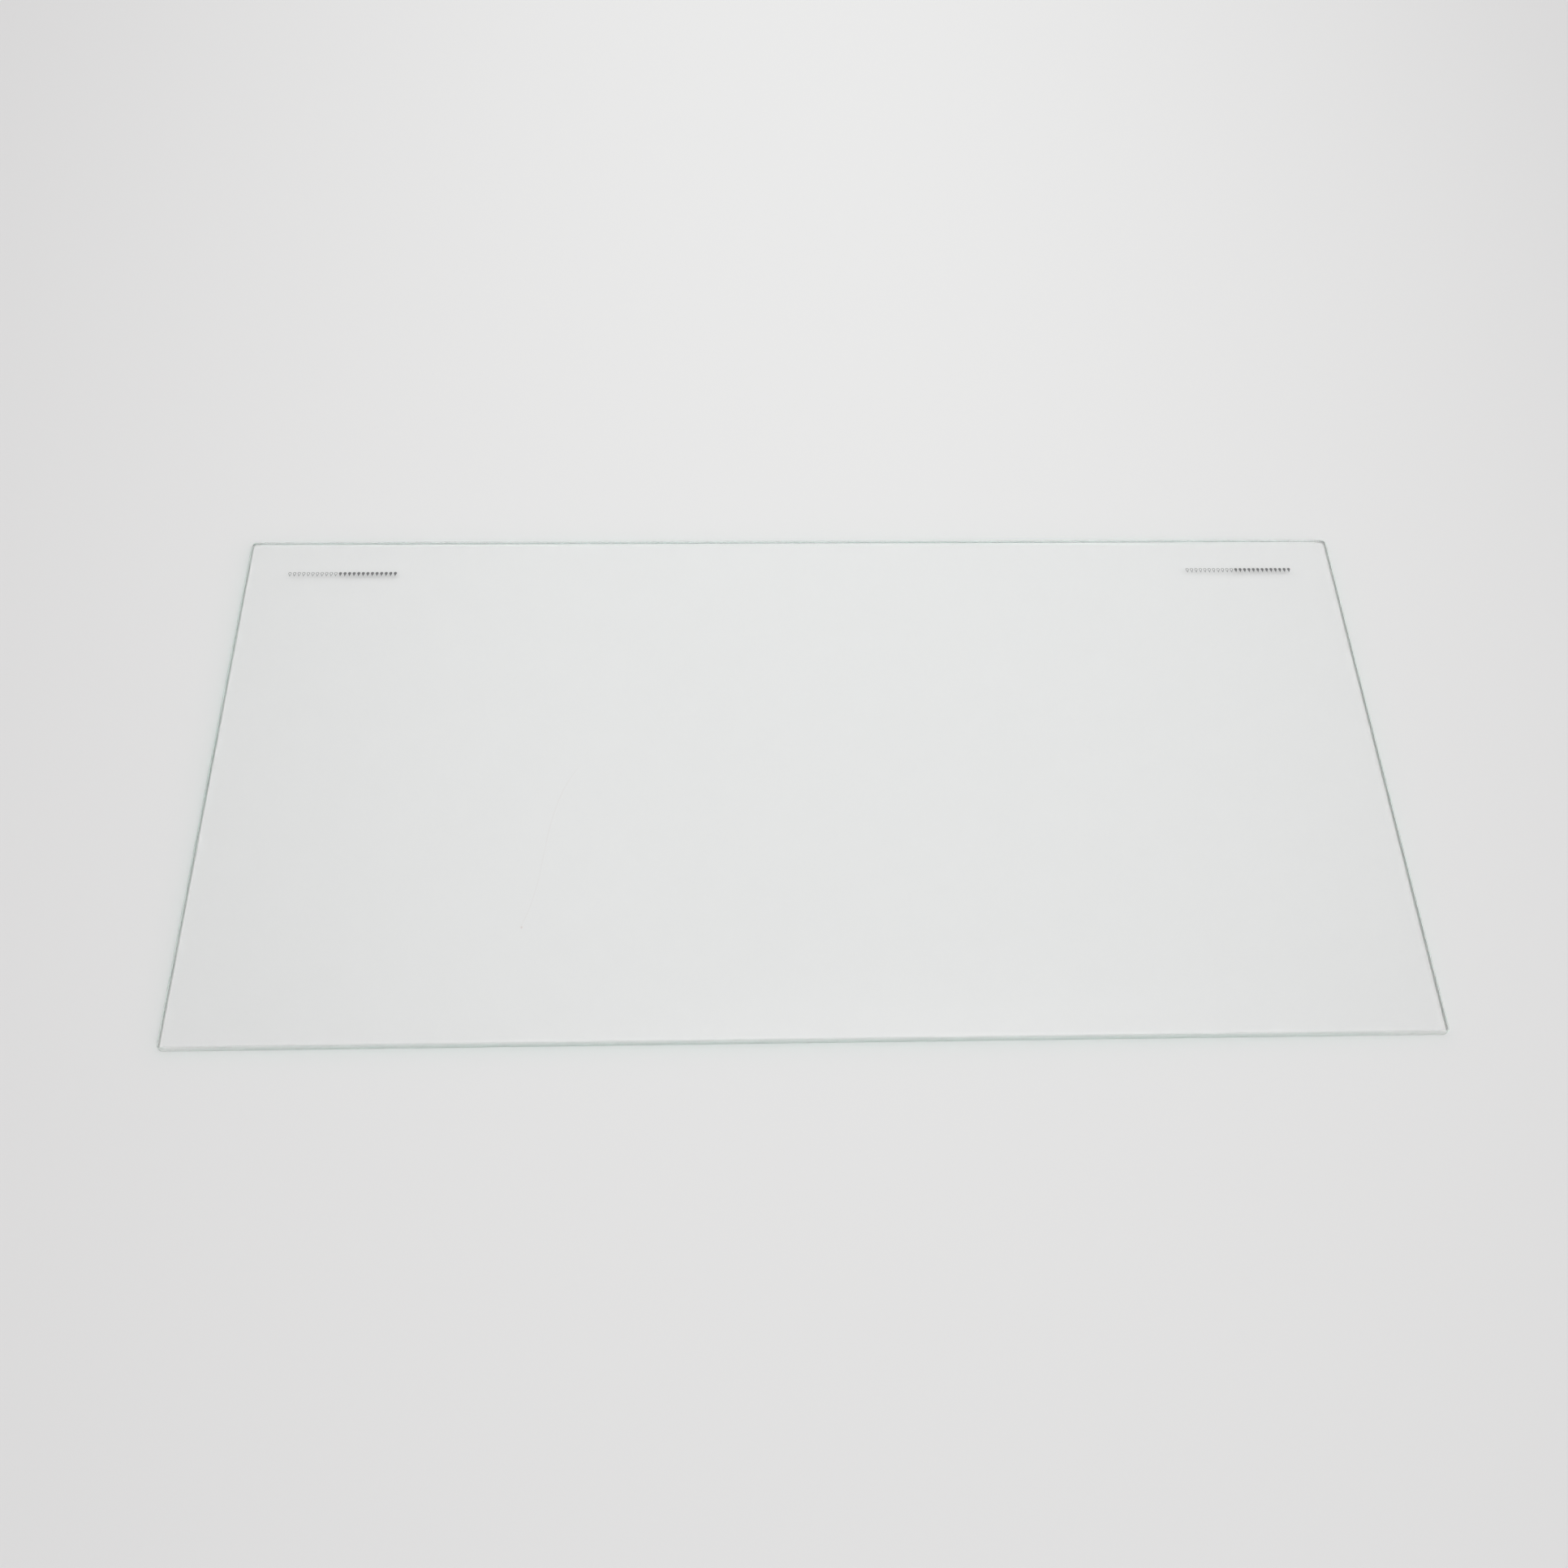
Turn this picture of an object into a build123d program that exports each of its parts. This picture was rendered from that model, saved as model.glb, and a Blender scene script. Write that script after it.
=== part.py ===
from build123d import *
import os

# Glass shelf of a refrigerator: one pane of float glass, cut to a rectangle with small
# rounded corners. Its edges are ground flat and square to the faces, the arris along both
# faces is taken off to a small radius in one run round the pane, and the pane is then
# toughened. The pane lies flat. Millimetres, +X along the shelf's width, -Y its front,
# +Z up, and the origin at the middle of its underside.

# Driving dimensions
shelf_width = 610.0      # between the side walls of the refrigerator
shelf_depth = 300.0      # from the front edge to the back edge
glass_thickness = 4.0    # stock thickness of the float glass
corner_radius = 2.5      # rounding of the four corners, seen from above
arris_radius = 1.0       # rounding between each face and the flat ground edge


def glass_shelf():
    """The blank with rounded corners, then both arrises rounded in one run round the pane."""
    outline = RectangleRounded(shelf_width, shelf_depth, corner_radius)
    blank = extrude(outline, glass_thickness)
    faces_by_height = blank.faces().sort_by(Axis.Z)
    underside = faces_by_height[0]
    top_face = faces_by_height[-1]
    return fillet(underside.edges() + top_face.edges(), arris_radius)


os.makedirs("parts", exist_ok=True)
export_step(glass_shelf(), "parts/glass_shelf.step")
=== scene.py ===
import math

import bmesh
import bpy
from mathutils import Matrix, Quaternion, Vector


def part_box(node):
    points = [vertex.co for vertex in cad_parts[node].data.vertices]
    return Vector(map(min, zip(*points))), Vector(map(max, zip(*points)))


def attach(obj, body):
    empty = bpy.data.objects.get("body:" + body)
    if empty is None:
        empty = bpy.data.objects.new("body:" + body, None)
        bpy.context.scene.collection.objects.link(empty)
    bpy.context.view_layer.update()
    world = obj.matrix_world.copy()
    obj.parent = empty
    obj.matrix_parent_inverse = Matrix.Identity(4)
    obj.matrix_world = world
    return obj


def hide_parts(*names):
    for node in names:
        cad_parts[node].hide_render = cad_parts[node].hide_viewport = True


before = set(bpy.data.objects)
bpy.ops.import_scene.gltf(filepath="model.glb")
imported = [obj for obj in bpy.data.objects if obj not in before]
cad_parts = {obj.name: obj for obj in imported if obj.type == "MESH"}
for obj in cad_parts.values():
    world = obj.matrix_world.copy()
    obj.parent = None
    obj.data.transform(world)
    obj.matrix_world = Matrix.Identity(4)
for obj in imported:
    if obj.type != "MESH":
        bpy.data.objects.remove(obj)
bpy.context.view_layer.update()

# The pane: one sheet of clear float glass with a faint green tint, cut with small rounded corners.
# Its edges are ground flat and left satin, with a rounded arris along both faces; the front edge is
# polished and its arris is finer. The pane lies flat, held by its weight alone.
pane_low, pane_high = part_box("glass_shelf")
corner_radius = 0.0025     # in metres, as every length here
corner_steps = 12
arris_radius = 0.001
arris_steps = 10
front_arris_share = 0.3    # radius of the front arris, as a share of the others
front_run_out = 0.005      # length in which the front arris widens to that of the corner
touching = 0.000001        # what lies closer than this counts as touching
level_from = 0.999         # upright share of a normal from which its face counts as level
front_from = 0.1           # forward share of a normal from which its face is on the front edge
front_skew = 0.05          # sideways share of a normal from which its face is on a corner

pane_shape = bmesh.new()
bmesh.ops.create_cube(pane_shape, size=1.0)
bmesh.ops.scale(pane_shape, vec=pane_high - pane_low, verts=pane_shape.verts)
bmesh.ops.translate(pane_shape, vec=(pane_low + pane_high) / 2, verts=pane_shape.verts)


def stands_upright(edge):
    return abs(edge.verts[0].co.z - edge.verts[1].co.z) > touching


def lies_level(face):
    return abs(face.normal.z) > level_from


def faces_front(face):
    return face.normal.y < -front_from and abs(face.normal.x) < front_skew


def round_off(edges, radius, steps):
    bmesh.ops.bevel(
        pane_shape, geom=edges, offset=radius, offset_type="OFFSET", affect="EDGES",
        segments=steps, profile=0.5, material=-1,
    )
    pane_shape.normal_update()


upright_edges = [edge for edge in pane_shape.edges if stands_upright(edge)]
round_off(upright_edges, corner_radius, corner_steps)
arrises = [edge for edge in pane_shape.edges if sum(lies_level(face) for face in edge.link_faces) == 1]
round_off(arrises, arris_radius, arris_steps)

front_cut = pane_high.x - corner_radius - front_run_out
for cut_x in (-front_cut, front_cut):
    bmesh.ops.bisect_plane(
        pane_shape, geom=pane_shape.verts[:] + pane_shape.edges[:] + pane_shape.faces[:],
        plane_co=(cut_x, 0, 0), plane_no=(1, 0, 0),
    )
for face_height in (pane_low.z, pane_high.z):
    front_arris = [
        corner for corner in pane_shape.verts
        if abs(corner.co.x) < front_cut + touching
        and corner.co.y < pane_low.y + arris_radius + touching
        and abs(corner.co.z - face_height) < arris_radius + touching
    ]
    bmesh.ops.scale(
        pane_shape, vec=(1.0, front_arris_share, front_arris_share), verts=front_arris,
        space=Matrix.Translation((0, -pane_low.y, -face_height)),
    )
pane_shape.normal_update()

face_roughness = 0.0
polished_roughness = 0.42
satin_roughness = 1.0
edge_finish = pane_shape.faces.layers.float.new("edge_finish")
for face in pane_shape.faces:
    face.smooth = not lies_level(face)
    if lies_level(face):
        face[edge_finish] = face_roughness
    elif faces_front(face):
        face[edge_finish] = polished_roughness
    else:
        face[edge_finish] = satin_roughness


def make_object(name, shape):
    mesh = bpy.data.meshes.new(name)
    shape.to_mesh(mesh)
    shape.free()
    made = bpy.data.objects.new(name, mesh)
    bpy.context.scene.collection.objects.link(made)
    return made


def new_finish(name):
    material = bpy.data.materials.new(name)
    material.use_nodes = True
    tree = material.node_tree
    return material, tree.nodes, tree.links, tree.nodes["Principled BSDF"]


pane = make_object("glass_pane", pane_shape)
glass, glass_nodes, glass_links, glass_surface = new_finish("float_glass")
glass_ior = 1.52
glass_surface.inputs["IOR"].default_value = glass_ior
glass_surface.inputs["Transmission Weight"].default_value = 1.0
finish = glass_nodes.new("ShaderNodeAttribute")
finish.attribute_name = "edge_finish"
on_pane = glass_nodes.new("ShaderNodeTexCoord")
place = glass_nodes.new("ShaderNodeSeparateXYZ")
glass_links.new(on_pane.outputs["Object"], place.inputs["Vector"])


def fade(value, start, end, at_start, at_end):
    step = glass_nodes.new("ShaderNodeMapRange")
    step.inputs["From Min"].default_value = start
    step.inputs["From Max"].default_value = end
    step.inputs["To Min"].default_value = at_start
    step.inputs["To Max"].default_value = at_end
    glass_links.new(value, step.inputs["Value"])
    return step.outputs["Result"]


def combine(operation, first, second=0.0):
    combined = glass_nodes.new("ShaderNodeMath")
    combined.operation = operation
    for socket, value in zip(combined.inputs, (first, second)):
        if isinstance(value, float):
            socket.default_value = value
        else:
            glass_links.new(value, socket)
    return combined.outputs["Value"]


# The grinding wheel leaves fine streaks that run along the edge, level with the faces.
streaks_per_metre = (60.0, 60.0, 5000.0)
streak_detail = 3.0
streak_depth = 0.000006
worn_below = 0.3           # height in the streaks under which they are worn smoothest
rough_above = 0.5          # height in the streaks over which they are as rough as the wheel left them
worn_share = 0.8           # roughness that is left where they are worn
along_edge = glass_nodes.new("ShaderNodeMapping")
along_edge.inputs["Scale"].default_value = streaks_per_metre
glass_links.new(on_pane.outputs["Object"], along_edge.inputs["Vector"])
streaks = glass_nodes.new("ShaderNodeTexNoise")
streaks.inputs["Scale"].default_value = 1.0
streaks.inputs["Detail"].default_value = streak_detail
glass_links.new(along_edge.outputs["Vector"], streaks.inputs["Vector"])
worn = fade(streaks.outputs["Fac"], worn_below, rough_above, worn_share, 1.0)
glass_links.new(combine("MULTIPLY", finish.outputs["Fac"], worn), glass_surface.inputs["Roughness"])
relief = glass_nodes.new("ShaderNodeBump")
relief.inputs["Strength"].default_value = 1.0
relief.inputs["Distance"].default_value = streak_depth
ridges = combine("MULTIPLY", finish.outputs["Fac"], streaks.outputs["Fac"])
glass_links.new(ridges, relief.inputs["Height"])
glass_links.new(relief.outputs["Normal"], glass_surface.inputs["Normal"])

# A hairline scratch runs over the top face in a slack curve from a speck at its near end.
# It holds a little grime. The ground edges are toned a little darker with the same warm grey,
# more where they are rougher.
scratch_x = 0.1310         # middle of the curve
scratch_y = 0.0500
scratch_far_y = -0.0010
scratch_near_y = 0.0898
scratch_lean = 0.125       # slope at the middle of the curve
scratch_bend = 66.0        # how fast both ends swing away from that slope
scratch_width = 0.0006
scratch_grime = 0.22
faint_below = 0.35         # height in the streaks under which the scratch is faintest
full_above = 0.6           # height in the streaks over which it is whole
faint_share = 0.5          # grime that is left where it is faintest
speck_x = 0.1396
speck_radius = 0.0008
speck_grime = 0.9
# Share of the warm grey that tones the ground edges a little darker.
edge_darkening = 0.1
clean_colour = (1.0, 1.0, 1.0, 1.0)
grime_and_edge_colour = (0.78, 0.60, 0.55, 1.0)
from_middle = combine("SUBTRACT", place.outputs["Y"], scratch_y)
swing = combine("MULTIPLY", combine("POWER", from_middle, 3.0), scratch_bend)
slope = combine("MULTIPLY", from_middle, scratch_lean)
line_x = combine("ADD", combine("ADD", swing, slope), scratch_x)
off_line = combine("ABSOLUTE", combine("SUBTRACT", place.outputs["X"], line_x))
scratch = fade(off_line, 0.0, scratch_width / 2, scratch_grime, 0.0)
scratch = combine("MULTIPLY", scratch, combine("GREATER_THAN", place.outputs["Y"], scratch_far_y))
scratch = combine("MULTIPLY", scratch, combine("LESS_THAN", place.outputs["Y"], scratch_near_y))
unbroken = fade(streaks.outputs["Fac"], faint_below, full_above, faint_share, 1.0)
scratch = combine("MULTIPLY", scratch, unbroken)
across_speck = combine("POWER", combine("SUBTRACT", place.outputs["X"], speck_x), 2.0)
along_speck = combine("POWER", combine("SUBTRACT", place.outputs["Y"], scratch_near_y), 2.0)
off_speck = combine("SQRT", combine("ADD", across_speck, along_speck))
speck = fade(off_speck, 0.0, speck_radius, speck_grime, 0.0)
on_top = combine("GREATER_THAN", place.outputs["Z"], pane_high.z - touching)
marred = combine("MULTIPLY", combine("MAXIMUM", scratch, speck), on_top)
# Warm grey from the scratch and speck, plus a faint darker tone on the ground edges.
grime_and_edge_tone = combine("ADD", combine("MULTIPLY", finish.outputs["Fac"], edge_darkening), marred)
grime_and_edge_ramp = glass_nodes.new("ShaderNodeValToRGB")
grime_and_edge_ramp.color_ramp.elements[0].color = clean_colour
grime_and_edge_ramp.color_ramp.elements[1].color = grime_and_edge_colour
glass_links.new(grime_and_edge_tone, grime_and_edge_ramp.inputs["Fac"])
glass_links.new(grime_and_edge_ramp.outputs["Color"], glass_surface.inputs["Base Color"])

# The tint lies in the glass itself, so it shows only where light goes a long way through it.
tint_colour = (0.0, 0.56, 0.44, 1.0)
tint_density = 2.5
tint = glass_nodes.new("ShaderNodeVolumeAbsorption")
tint.inputs["Color"].default_value = tint_colour
tint.inputs["Density"].default_value = tint_density
glass_links.new(tint.outputs["Volume"], glass_nodes["Material Output"].inputs["Volume"])
pane.data.materials.append(glass)

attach(pane, "root")
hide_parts("glass_shelf")

# The printed marks: a moisture scale near each end of the front edge, a row of small drops
# that goes from solid to hollow. Grey enamel is screen printed on the top face and fired
# into it when the pane is toughened.
row_starts = {"drop_scale_left": -0.2806, "drop_scale_right": 0.2215}    # from the pane's middle
row_insets = {"drop_scale_left": 0.0222, "drop_scale_right": 0.0230}     # from its front edge
solid_drops = 13
hollow_drops = 11
drop_pitch = 0.00252
drop_radius = 0.00088
drop_height = 0.0031
drop_steps = 16
drop_stroke = 0.00024
shoulder_from = 0.1                    # height over the drop's middle, as a share of its radius
shoulder_stretch = (0.82, 1.6, 1.0)    # narrows the shoulder and draws it up to the tip
ink_thickness = 0.00002
ink_gap = 0.000004


def add_drop(shape, middle, hollow):
    ring = bmesh.ops.create_circle(
        shape, cap_ends=True, segments=drop_steps, radius=drop_radius,
    )["verts"]
    tip = max(ring, key=lambda corner: corner.co.y)
    upper = [corner for corner in ring if corner.co.y > drop_radius * shoulder_from]
    shoulder = [corner for corner in upper if corner is not tip]
    bmesh.ops.scale(shape, vec=shoulder_stretch, verts=shoulder)
    tip.co.x = 0.0
    tip.co.y = drop_height - drop_radius
    bmesh.ops.translate(shape, vec=middle - Vector((0, drop_height / 2 - drop_radius, 0)), verts=ring)
    face = ring[0].link_faces[0]
    film = [face]
    if hollow:
        film = bmesh.ops.inset_region(
            shape, faces=[face], thickness=drop_stroke, use_even_offset=True, use_boundary=True,
        )["faces"]
        bmesh.ops.delete(shape, geom=[face], context="FACES_ONLY")
    raised = bmesh.ops.extrude_face_region(shape, geom=film)["geom"]
    raised_corners = [part for part in raised if isinstance(part, bmesh.types.BMVert)]
    bmesh.ops.translate(shape, vec=(0, 0, ink_thickness), verts=raised_corners)


enamel_roughness = 0.45
mottle_per_metre = 2500.0
mottle_detail = 2.0
dark_below = 0.3                       # height in the mottle under which the enamel is darkest
pale_above = 0.7                       # height in the mottle over which it is palest
dark_grey = (0.135, 0.135, 0.139, 1.0)
pale_grey = (0.21, 0.21, 0.213, 1.0)
enamel, enamel_nodes, enamel_links, enamel_surface = new_finish("grey_enamel")
enamel_surface.inputs["Roughness"].default_value = enamel_roughness
on_print = enamel_nodes.new("ShaderNodeTexCoord")
mottle = enamel_nodes.new("ShaderNodeTexNoise")
mottle.inputs["Scale"].default_value = mottle_per_metre
mottle.inputs["Detail"].default_value = mottle_detail
enamel_links.new(on_print.outputs["Object"], mottle.inputs["Vector"])
greys = enamel_nodes.new("ShaderNodeValToRGB")
greys.color_ramp.elements[0].position = dark_below
greys.color_ramp.elements[0].color = dark_grey
greys.color_ramp.elements[1].position = pale_above
greys.color_ramp.elements[1].color = pale_grey
enamel_links.new(mottle.outputs["Fac"], greys.inputs["Fac"])
enamel_links.new(greys.outputs["Color"], enamel_surface.inputs["Base Color"])

for row_name, row_start in row_starts.items():
    row_shape = bmesh.new()
    for count in range(solid_drops + hollow_drops):
        middle = Vector((
            row_start + drop_pitch * (count + 0.5),
            pane_low.y + row_insets[row_name],
            pane_high.z + ink_gap,
        ))
        add_drop(row_shape, middle, hollow=count >= solid_drops)
    bmesh.ops.recalc_face_normals(row_shape, faces=row_shape.faces)
    row = make_object(row_name, row_shape)
    row.data.materials.append(enamel)
    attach(row, "root")

# The floor: a wide sheet of pale card under the pane. Its colour carries painted light and shade:
# it darkens softly away from a painted pool of light in front of the pane, and is pale again towards
# its rim.
floor_radius = 6.0
floor_steps = 96
floor_drop = 0.0002
# Painted light: the card is coloured lightest around this spot, and painted shade deepens away from
# it.
painted_light_spot = (-0.033, -0.62, 0.0)
falloff_reach = (1.0, 2.4, 1.0)        # from the bright spot to where the card is dimmest
far_reach = 2.5                        # where the card is pale again, in times that reach
painted_lit_card = (0.858, 0.858, 0.855, 1.0)
painted_shade_card = (0.640, 0.630, 0.632, 1.0)
far_card = (0.91, 0.91, 0.91, 1.0)
card_roughness = 0.9
card_specular = 0.2
floor_shape = bmesh.new()
bmesh.ops.create_circle(floor_shape, cap_ends=True, segments=floor_steps, radius=floor_radius)
bmesh.ops.translate(floor_shape, vec=(0, 0, pane_low.z - floor_drop), verts=floor_shape.verts)
floor = make_object("floor", floor_shape)
card, card_nodes, card_links, card_surface = new_finish("pale_card")
card_surface.inputs["Roughness"].default_value = card_roughness
card_surface.inputs["Specular IOR Level"].default_value = card_specular
on_floor = card_nodes.new("ShaderNodeTexCoord")
from_painted_light_spot = card_nodes.new("ShaderNodeMapping")
from_painted_light_spot.vector_type = "TEXTURE"
from_painted_light_spot.inputs["Location"].default_value = painted_light_spot
from_painted_light_spot.inputs["Scale"].default_value = falloff_reach
card_links.new(on_floor.outputs["Object"], from_painted_light_spot.inputs["Vector"])
distance = card_nodes.new("ShaderNodeVectorMath")
distance.operation = "LENGTH"
card_links.new(from_painted_light_spot.outputs["Vector"], distance.inputs[0])
falloff = card_nodes.new("ShaderNodeMapRange")
falloff.inputs["From Max"].default_value = far_reach
card_links.new(distance.outputs["Value"], falloff.inputs["Value"])
# The card colours of the painted light and shade, from the lit spot out to the rim.
painted_shades = card_nodes.new("ShaderNodeValToRGB")
painted_shades.color_ramp.interpolation = "EASE"
painted_shades.color_ramp.elements[0].color = painted_lit_card
painted_shades.color_ramp.elements[1].color = far_card
painted_shades.color_ramp.elements.new(1.0 / far_reach).color = painted_shade_card
card_links.new(falloff.outputs["Result"], painted_shades.inputs["Fac"])
card_links.new(painted_shades.outputs["Color"], card_surface.inputs["Base Color"])
floor.data.materials.append(card)

# The room: even white light from all round, with soft round glows overhead, at one side, low in
# front and where the top face mirrors the room to the camera. Past the floor's rim the camera
# sees a plain pale backdrop. Directions are outwards from the pane, and angles are in degrees.
room_level = 0.384
backdrop_level = 0.85
room_colour = (1.0, 1.0, 1.0, 1.0)
overhead_glow = {"towards": (-0.10, 0.26, 0.96), "full_angle": 22, "last_angle": 40, "strength": 1.46}
side_glow = {"towards": (-0.75, 0.55, 0.45), "full_angle": 15, "last_angle": 60, "strength": 0.549}
front_glow = {"towards": (0.0, -1.0, 0.1), "full_angle": 10, "last_angle": 50, "strength": 0.274}
mirror_glow = {"towards": (-0.075, -0.509, 0.86), "full_angle": 8, "last_angle": 30, "strength": 0.44}
room = bpy.data.worlds.new("room")
room.use_nodes = True
room_nodes = room.node_tree.nodes
room_links = room.node_tree.links
outward = room_nodes.new("ShaderNodeTexCoord")


def add_glow(so_far, towards, full_angle, last_angle, strength):
    facing = room_nodes.new("ShaderNodeVectorMath")
    facing.operation = "DOT_PRODUCT"
    facing.inputs[1].default_value = Vector(towards).normalized()
    room_links.new(outward.outputs["Generated"], facing.inputs[0])
    soft_rim = room_nodes.new("ShaderNodeMapRange")
    soft_rim.interpolation_type = "SMOOTHSTEP"
    soft_rim.inputs["From Min"].default_value = math.cos(math.radians(last_angle))
    soft_rim.inputs["From Max"].default_value = math.cos(math.radians(full_angle))
    soft_rim.inputs["To Max"].default_value = strength
    room_links.new(facing.outputs["Value"], soft_rim.inputs["Value"])
    total = room_nodes.new("ShaderNodeMath")
    total.inputs[0].default_value = room_level
    if so_far:
        room_links.new(so_far, total.inputs[0])
    room_links.new(soft_rim.outputs["Result"], total.inputs[1])
    return total.outputs["Value"]


light = None
for glow in (overhead_glow, side_glow, front_glow, mirror_glow):
    light = add_glow(light, **glow)
ray = room_nodes.new("ShaderNodeLightPath")
seen = room_nodes.new("ShaderNodeMix")
seen.inputs["B"].default_value = backdrop_level
room_links.new(ray.outputs["Is Camera Ray"], seen.inputs["Factor"])
room_links.new(light, seen.inputs["A"])
room_links.new(seen.outputs["Result"], room_nodes["Background"].inputs["Strength"])
room_nodes["Background"].inputs["Color"].default_value = room_colour
bpy.context.scene.world = room

# Light is caught inside the edges of the pane, so it is followed through many turns, and sharp
# reflections stay sharp.
light_turns = 256
light_paths = bpy.context.scene.cycles
light_paths.blur_glossy = 0.0
light_paths.max_bounces = light_turns
light_paths.glossy_bounces = light_turns
light_paths.transmission_bounces = light_turns
bpy.context.scene.view_settings.view_transform = "Standard"

# The camera: held over the back edge, looking steeply down at the pane and a little to one side,
# with a slight roll.
lens_mm = 35.689
sensor_mm = 36.0
look_at = Vector((0.0098, 0.0089, 0.002))
look_distance = 0.80351
azimuth = math.radians(176.283)
elevation = math.radians(59.561)
roll = math.radians(2.763)
away = Vector((
    math.sin(azimuth) * math.cos(elevation),
    -math.cos(azimuth) * math.cos(elevation),
    math.sin(elevation),
))
camera_data = bpy.data.cameras.new("camera")
camera_data.lens = lens_mm
camera_data.sensor_width = sensor_mm
camera_data.sensor_fit = "AUTO"
camera = bpy.data.objects.new("camera", camera_data)
camera.location = look_at + away * look_distance
camera.rotation_mode = "QUATERNION"
camera.rotation_quaternion = (-away).to_track_quat("-Z", "Y") @ Quaternion((0, 0, 1), roll)
bpy.context.scene.collection.objects.link(camera)
bpy.context.scene.camera = camera
